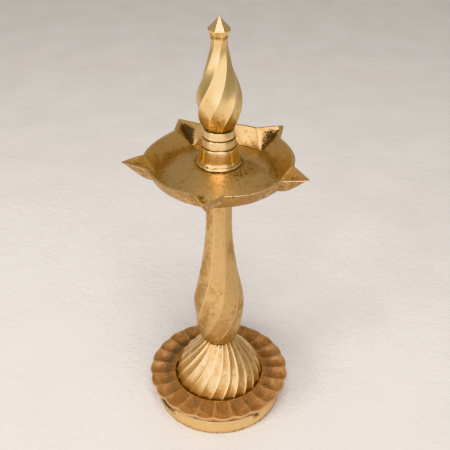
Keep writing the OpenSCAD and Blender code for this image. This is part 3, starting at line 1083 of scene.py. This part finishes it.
@dataclass
class OilPan(Section):
    """Shallow pan whose rim is drawn out into beaks for the wicks.

    Attributes:
        beaks: number of beaks.
        start_deg: direction of the first beak.
        sector: steps round the pan from one beak to the next.
        beak_steps: how many of those steps cross the beak.
        rim_r: outer radius of the rim between the beaks.
        tip_r: reach of the beaks.
        half_deg: half the angle that a beak takes of the rim.
        rim_z: height of the highest tips.
        crease_r: radius of the crease between the floor and the wall.
        crease_z: height of that crease.
        seat_z: height of the collar's seat.
        seat_r: radius of that seat.
        wall: thickness of the wall.
        keel_deg: half the angle that a beak's keel takes of the wall's foot.
        swell: how far the keels bulge downwards.
        sags: how far the rim sags, in the gap after each beak.
        tip_drops: how far each beak's tip lies below the highest ones.
        blot_at: middle of a dark blot on the floor, in metres.
        stops: foot radius, height, share of the way up the wall, and share of
            the way from the outer to the inner wall, at each profile point.
    """

    beaks: int = 5
    start_deg: float = -99.25
    sector: int = 48
    beak_steps: int = 20
    rim_r: float = 48.9
    tip_r: float = 63.3
    half_deg: float = 12.6
    rim_z: float = 209.9
    crease_r: float = 40
    crease_z: float = 197.9
    seat_z: float = 204.9
    seat_r: float = 15.2
    wall: float = 1.8
    keel_deg: float = 1.6
    swell: float = 3.4
    sags: Sequence[float] = (2.0, 1.2, 0.5, 2.2, 1.8)
    tip_drops: Sequence[float] = (0.0, 1.7, 0.0, 0.9, 0.0)
    blot_at: Point = (-0.0125, -0.0365)
    stops: list[Ring] = field(default_factory=list)

    def floor_z(self, r: float) -> float:
        """Height of the floor at radius r."""
        if r < self.seat_r:
            return self.seat_z
        out = (r - self.seat_r) / (self.crease_r - self.seat_r)
        return self.seat_z - 7 * out**1.5

    def rings(self) -> list[Ring]:
        """Each ring's stop, out along the underside, up the wall and back over the floor."""
        wall_r, wall_z = 41.6, 196.3
        up = (0.03, 0.08, 0.16, 0.28, 0.4, 0.52, 0.64, 0.76, 0.86, 0.93, 0.97)
        over = (0.0, 0.12, 0.3, 0.5, 0.7, 0.88, 1.0)
        down = (0.97, 0.93, 0.86, 0.76, 0.64, 0.52, 0.4, 0.28, 0.18, 0.1, 0.05, 0.02)
        floor_r = (39.4, 38.4, 36.5, 34, 31, 28, 25, 22, 19.5, 17, 15.2, 10, 4.27)
        under = [(4.27, 200.0, 0, 0), (10.9, 200.0, 0, 0), (11.2, 200.3, 0, 0), (11.2, 202.4, 0, 0)]
        under += [(11.5, 202.7, 0, 0), (15.2, 202.7, 0, 0)]
        under += [(r, self.floor_z(r) - 2.2, 0, 0) for r in (18, 21, 24, 27, 30, 33, 36, 38.5)]
        under += [(40.3, 195.75, 0, 0)]
        outside = [(wall_r, wall_z, s, 0) for s in up]
        edge = [(wall_r, wall_z, 1.0, w) for w in over]
        inside = [(self.crease_r, self.crease_z, s, 1) for s in down]
        floor = [(r, self.floor_z(r), 0, 1) for r in floor_r]
        return under + outside + edge + inside + floor

    def blank(self) -> Blank:
        """The pan's closed profile."""
        self.stops = self.rings()
        profile = []
        for foot, z, s, w in self.stops:
            top = self.rim_r - self.wall * w
            profile.append((foot + (top - foot) * s, z + (self.rim_z - z) * s))
        return Blank(profile, self.beaks * self.sector, closed=True)

    def across_beak(self, k: int) -> float:
        """Place of step k of a sector across its beak: -1 and 1 at the corners, 0 at the tip."""
        return -1 + 2 * k / self.beak_steps

    def along_gap(self, k: int) -> float:
        """Place of step k of a sector along the gap after its beak, from 0 to 1."""
        return (k - self.beak_steps) / (self.sector - self.beak_steps)

    def rim_point(self, k: int, w: float) -> Vector:
        """Point of the rim in step k of a sector whose beak points along +X.

        Args:
            k: the step, from the beak's first corner on.
            w: 0 for the outer wall, 1 for the inner one.

        Returns:
            The point in plan.
        """
        r = self.rim_r - self.wall * w
        half = math.radians(self.half_deg - 1.2 * w)
        tip = self.tip_r - 1.6 * self.wall * w
        if k < self.beak_steps:
            at = self.across_beak(k)
            u = abs(at)
            corner = Vector((r * math.cos(half), math.copysign(r * math.sin(half), at)))
            blunt = 0.7 * bell(u, 0.07)
            full = math.copysign(0.15 * 4 * u * (1 - u), at)
            return corner * u + Vector((tip - blunt, full)) * (1 - u) + Vector((0, full * u))
        a = half + (TAU / self.beaks - 2 * half) * self.along_gap(k)
        return Vector((r * math.cos(a), r * math.sin(a)))

    def foot_angle(self, k: int) -> float:
        """Direction of the wall's foot in step k of a sector, in radians."""
        keel = math.radians(self.keel_deg)
        if k < self.beak_steps:
            return keel * self.across_beak(k)
        return keel + (TAU / self.beaks - 2 * keel) * self.along_gap(k)

    def rim_drop(self, sector: int, k: int) -> float:
        """How far the rim lies below its highest tips, in step k of a sector."""
        if k >= self.beak_steps:
            return self.sags[sector] / 2 * (1 + math.sin(math.pi * self.along_gap(k)))
        at = self.across_beak(k)
        beside = self.sags[sector if at > 0 else sector - 1] / 2
        tip = self.tip_drops[sector]
        return tip + (beside - tip) * at * at

    def fullness(self, k: int) -> float:
        """How much of the keels' swell the outer wall has, in step k of a sector."""
        if k >= self.beak_steps:
            return 0.15 + 0.6 * (1 - math.sin(math.pi * self.along_gap(k)))
        return 1 - 0.25 * self.across_beak(k) ** 2

    def stains(self, spot: Spot) -> float:
        """Tarnish on the floor and the inner wall's foot, from 0 to 1."""
        sides = 0.52 * facing(spot, 152, 34) + 0.54 * facing(spot, 4, 30)
        at_crease = bell(spot.r - 36, 4.0) * sides
        at_collar = bell(spot.r - 19.5, 5.5) * 0.47 * facing(spot, -35, 62)
        blot = 1.1 * bell(math.dist(spot.where()[:2], self.blot_at) / MM, 2.8)
        return max(at_crease, at_collar, blot)

    def grime_and_shade(self, spot: Spot, in_beak: float) -> float:
        """Soot in the beaks, and tarnish on the rest.

        Args:
            spot: the spot, already in its place.
            in_beak: how near it is to a beak's middle, from 0 to 1.

        Returns:
            The grime there, from 0 to 1.
        """
        foot, _, s, w = self.stops[spot.station]
        if w < 1:
            return 0.24 + (0.2 if s == 0 else 0.0)
        crease = bell(foot + s * 8 - self.crease_r, 2.2) if s < 0.5 else 0.0
        soot = smooth_step(0.0, 0.75, in_beak) * (0.42 + 0.5 * max(0.0, math.sin(spot.angle)))
        soot *= smooth_step(0.0, 0.12, s) * (1 - smooth_step(0.75, 1.0, s))
        at_seat = bell(spot.r - self.seat_r, 1.6) * 0.5 if s == 0 else 0.0
        return max(crease * 0.3, soot, at_seat, self.stains(spot))

    def carve(self, spot: Spot) -> None:
        """Draws the wall out into beaks."""
        foot, foot_z, s, w = self.stops[spot.station]
        columns = self.beaks * self.sector
        sector, k = divmod(round(spot.turn * columns) % columns, self.sector)
        a = self.foot_angle(k)
        place = Vector((foot * math.cos(a), foot * math.sin(a)))
        if s > 0:
            place = place * (1 - s) + self.rim_point(k, w) * s
        turn = math.radians(self.start_deg) + TAU * sector / self.beaks
        place.rotate(Matrix.Rotation(turn, 2))
        spot.move_to(place.x, place.y)
        spot.z = foot_z + (self.rim_z - self.rim_drop(sector, k) - foot_z) * s
        if w == 0:
            spot.z -= self.swell * self.fullness(k) * 6.75 * s * (1 - s) ** 2
        if s == 1.0:
            spot.z -= 0.35 * abs(2 * w - 1) ** 3
            spot.wear = 1.0
        spot.z += 0.10 * unevenness(spot, 8, 2.0) * s
        in_beak = 1 - abs(self.across_beak(k)) if k < self.beak_steps else 0.0
        spot.grime_and_shade = self.grime_and_shade(spot, in_beak)


@dataclass
class Collar(Section):
    """Turned collar with two grooves, screwed down on the pan."""

    seat_z: float = 204.9
    height: float = 24.7
    grooves: Sequence[float] = (13.2, 19.1)
    columns: int = 128
    step: float = 1.2

    def blank(self) -> Blank:
        """The collar's profile with a blind hole at each end."""
        outside = [
            (10.4, 0.0), (14.2, 0.0), (14.6, 0.5), (14.6, 1.3), (13.6, 2.3), (12.9, 4.5),
            (11.8, 12.7), (11.2, 13.1), (11.2, 13.4), (11.5, 13.9),
            (10.7, 18.6), (10.1, 19.0), (10.1, 19.3), (10.4, 19.8),
            (9.8, 24.3), (9.4, self.height), (7.0, self.height), (7.0, 23.9), (3.22, 23.9),
        ]
        rounded = eased(outside, 0.35)
        fine: list[Point] = []
        for a, b in zip(rounded, rounded[1:]):
            fine += span(a, b, max(1, round(math.dist(a, b) / self.step)))
        fine.append(rounded[-1])
        low = [(0, 10.5), (4.02, 10.5), (4.02, 1.0), (10.4, 1.0)]
        profile = low + fine + [(3.22, 13.7), (0, 13.7)]
        return Blank([(r, z + self.seat_z) for r, z in profile], self.columns)

    def carve(self, spot: Spot) -> None:
        """Leaves grime in the grooves and at the lip."""
        z = spot.z - self.seat_z
        if spot.r < 9.3:
            spot.grime_and_shade = 0.4
            return
        groove = max(bell(z - at, 0.42) for at in self.grooves)
        lip = max(0.7 * bell(z - 0.2, 0.9), 0.45 * bell(z - 2.3, 0.7))
        spot.grime_and_shade = max(0.95 * groove, lip, 0.35 * bell(z - self.height, 0.5))
        rubbed = ((1.0, 0.5), (12.3, 0.5), (14.1, 0.4), (20.0, 0.4))
        spot.wear = 0.7 * max(bell(z - at, width) for at, width in rubbed)


@dataclass
class Stud(Section):
    """Threaded stud between two sections."""

    radius: float = 4.76
    pitch: float = 1.5875
    bottom_z: float = 7
    top_z: float = 68
    steps: int = 6
    columns: int = 24

    def blank(self) -> Blank:
        """A plain rod with enough levels for the thread."""
        length = self.top_z - self.bottom_z
        levels = math.ceil(length / self.pitch * self.steps)
        side = [(self.radius, self.bottom_z + length * i / levels) for i in range(levels + 1)]
        return Blank([(0, self.bottom_z)] + side + [(0, self.top_z)], self.columns)

    def carve(self, spot: Spot) -> None:
        """Cuts a right-handed thread."""
        if spot.r < 0.01:
            return
        phase = (spot.z / self.pitch - spot.turn) % 1.0
        cut = 0.5 + 0.5 * math.cos(TAU * phase)
        spot.r -= 0.6 * self.pitch * (1 - cut)
        end = min(spot.z - self.bottom_z, self.top_z - spot.z)
        spot.r -= 0.5 * max(0.0, 1 - end / 0.8)
        spot.wear = cut * 0.6
        spot.grime_and_shade = (1 - cut) * 0.7


@dataclass
class HexNut(Section):
    """Steel nut that clamps the tray to the dome."""

    flats: float = 15.9
    bottom_z: float = 8.4
    top_z: float = 13.4
    bore: float = 4.78
    columns: int = 72

    def blank(self) -> Blank:
        """The nut's closed profile before its flats are cut."""
        r = self.flats / 2 / math.cos(math.radians(30))
        low, high = self.bottom_z, self.top_z
        levels = (low, low + 0.5, low + 1, low + (high - low) / 2, high - 1, high - 0.5, high)
        side = [(r, z) for z in levels]
        return Blank([(self.bore, low)] + side + [(self.bore, high)], self.columns, closed=True)

    def carve(self, spot: Spot) -> None:
        """Cuts the flats and the chamfers."""
        if spot.r < self.bore + 0.1:
            spot.grime_and_shade = 0.5
            return
        corner = spot.r
        end = min(spot.z - self.bottom_z, self.top_z - spot.z)
        spot.r = min(polygon_radius(corner, 6, spot.turn * TAU, 0), corner - 1.3 + end * 1.7)


# ---- The whole lamp ----


@dataclass
class OilLamp:
    """The lamp: every section, and the finishes of the frame's nodes that stay."""

    polished: BrassFinish = BrassFinish(
        bright=(0.84, 0.61, 0.30), warm=(0.52, 0.28, 0.09), rough=0.33, darkened=0.36,
        grain_mm=0.02, pitted=0.3,
    )
    satin: BrassFinish = BrassFinish(
        bright=(0.64, 0.425, 0.20), warm=(0.42, 0.235, 0.09), rough=0.40, darkened=0.5,
        pitted=0.9, metal=0.9,
    )
    turned: BrassFinish = BrassFinish(
        bright=(0.88, 0.66, 0.36), rough=0.25, darkened=0.34, grain=Grain.TURNED, pitted=0.2
    )
    ring: BrassFinish = BrassFinish(
        bright=(0.76, 0.53, 0.26), warm=(0.44, 0.25, 0.09), rough=0.22, darkened=0.5, patch_mm=9,
        grain=Grain.TURNED, grain_mm=0.04, pitted=0.4,
    )
    pale: BrassFinish = BrassFinish(bright=(0.84, 0.60, 0.32), darkened=0.6, pitted=0.6)
    dull: BrassFinish = BrassFinish(
        bright=(0.54, 0.30, 0.135), warm=(0.33, 0.15, 0.058), dirt_and_shade=(0.125, 0.10, 0.058),
        rough=0.5, darkened=0.5, patch_mm=7, grain=Grain.CAST, grain_mm=0.06, pitted=0.7,
        metal=0.5,
    )
    pan: BrassFinish = BrassFinish(
        bright=(0.70, 0.47, 0.22), warm=(0.42, 0.24, 0.09), darkened=0.5, patch_mm=12,
        grain=Grain.TURNED, pitted=0.9, metal=0.95,
    )

    def sections(self) -> list[Section]:
        """The lamp's sections, from the floor up."""
        screw = (self.satin, THREAD_EDGE_DEG)
        return [
            FootRing("foot_ring", Body.BASE, self.ring),
            PetalTray("petal_tray", Body.BASE, self.dull),
            Dome("dome", Body.BASE, self.pale),
            HexNut("base_nut", Body.BASE, SteelFinish(), NUT_EDGE_DEG),
            Stud("base_stud", Body.BASE, *screw),
            Stem("stem", Body.STEM, self.satin),
            Stud("pan_stud", Body.STEM, *screw, 3.97, 1.4111, 184, 214.9),
            OilPan("oil_pan", Body.PAN, self.pan),
            Collar("collar", Body.COLLAR, self.turned),
            Stud("finial_stud", Body.FINIAL, *screw, 3.17, 1.27, 219.1, 242.6),
            Finial("finial", Body.FINIAL, self.polished),
        ]

    def dress_nodes(self, nodes: Mapping[str, bpy.types.Object]) -> None:
        """Gives the frame's washers and seal their finishes.

        Args:
            nodes: the frame's nodes by name.
        """
        finishes = {
            "base_washer": SteelFinish(rusted=0.5),
            "stem_washer": self.satin,
            "finial_washer": self.satin,
            "pan_seal": LeatherFinish(),
        }
        for name, finish in finishes.items():
            material = finish.material(f"{name}_finish")
            for slot in nodes[name].material_slots:
                slot.material = material
            log.info("%s: dressed", name)

    def build(self, nodes: Mapping[str, bpy.types.Object]) -> None:
        """Builds every section and dresses the nodes that stay."""
        for section in self.sections():
            section.build()
        self.dress_nodes(nodes)


# ---- Studio ----


@dataclass
class Studio:
    """Pale floor, soft lights and the camera.

    Attributes:
        lens_mm: the lens's focal length.
        sensor_mm: width of the sensor.
        eye: where the camera stands, in metres.
        pitch: how far it looks down, in radians.
        yaw: how far it looks to the right, in radians.
        roll: how far it leans, in radians.
        floor_m: half the side of the sheet of paper.
        daylight: tint of the larger softboxes.
    """

    lens_mm: float = 58.336
    sensor_mm: float = 36
    eye: Place = (0.0, -0.4144, 0.4323)
    pitch: float = 0.588
    yaw: float = 0.010
    roll: float = 0.007
    floor_m: float = 3.0
    daylight: Colour = (1.0, 0.98, 0.95)

    def floor(self) -> None:
        """Lays the sheet of paper."""
        bm = bmesh.new()
        bmesh.ops.create_grid(bm, x_segments=8, y_segments=8, size=self.floor_m)
        paper = as_object(bm, "paper_floor", PaperFinish().material("paper"), SOFT_EDGE_DEG)

    def camera(self) -> None:
        """Sets up the camera."""
        level = math.cos(self.pitch)
        across, along = math.cos(self.yaw), math.sin(self.yaw)
        ahead = Vector((along * level, across * level, -math.sin(self.pitch)))
        right = Vector((across, -along, 0))
        up = right.cross(ahead)
        side = right * math.cos(self.roll) + up * math.sin(self.roll)
        top = up * math.cos(self.roll) - right * math.sin(self.roll)
        data = bpy.data.cameras.new("studio_camera")
        data.sensor_width = self.sensor_mm
        data.lens = self.lens_mm
        data.clip_start = 0.01
        obj = bpy.data.objects.new("studio_camera", data)
        axes = Matrix((side, top, -ahead)).transposed().to_4x4()
        obj.matrix_world = Matrix.Translation(Vector(self.eye)) @ axes
        bpy.context.scene.collection.objects.link(obj)
        bpy.context.scene.camera = obj

    def softbox(
        self, name: str, place: Place, aim: Place, size: Point, watts: float, tint: Colour
    ) -> None:
        """Adds a soft rectangular light.

        Args:
            name: its name.
            place: where it stands, in metres.
            aim: the point that it faces.
            size: its width and height, in metres.
            watts: its power.
            tint: its colour.
        """
        data = bpy.data.lights.new(name, "AREA")
        data.shape = "RECTANGLE"
        data.size, data.size_y = size
        data.energy = watts
        data.color = tint
        obj = bpy.data.objects.new(name, data)
        obj.location = place
        ahead = Vector(aim) - Vector(place)
        obj.rotation_euler = ahead.to_track_quat("-Z", "Y").to_euler()
        bpy.context.scene.collection.objects.link(obj)

    def lights(self) -> None:
        """Sets the softboxes and the room's own light."""
        world = bpy.data.worlds.new("room")
        world.use_nodes = True
        back = world.node_tree.nodes["Background"]
        back.inputs["Color"].default_value = (0.72, 0.69, 0.66, 1)
        back.inputs["Strength"].default_value = 0.56
        bpy.context.scene.world = world
        box, white = self.softbox, self.daylight
        box("front_panel", (0.1, -1.7, 0.75), (0, 0, 0.12), (2.6, 1.4), 16, white)
        box("top_box", (0.05, -0.55, 1.4), (0, 0, 0.1), (0.8, 0.8), 11, white)
        box("left_box", (-0.85, -0.70, 0.6), (0, 0, 0.15), (0.5, 0.5), 6.5, (1.0, 0.97, 0.92))

    def build(self) -> None:
        """Sets up the studio."""
        self.camera()
        self.floor()
        self.lights()
        bpy.context.scene.view_settings.view_transform = "Khronos PBR Neutral"


def main() -> None:
    """Builds the studio and the lamp."""
    logging.basicConfig(level=logging.INFO, format="%(message)s")
    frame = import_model()
    Studio().build()
    OilLamp().build(frame["nodes"])


if __name__ == "__main__":
    main()
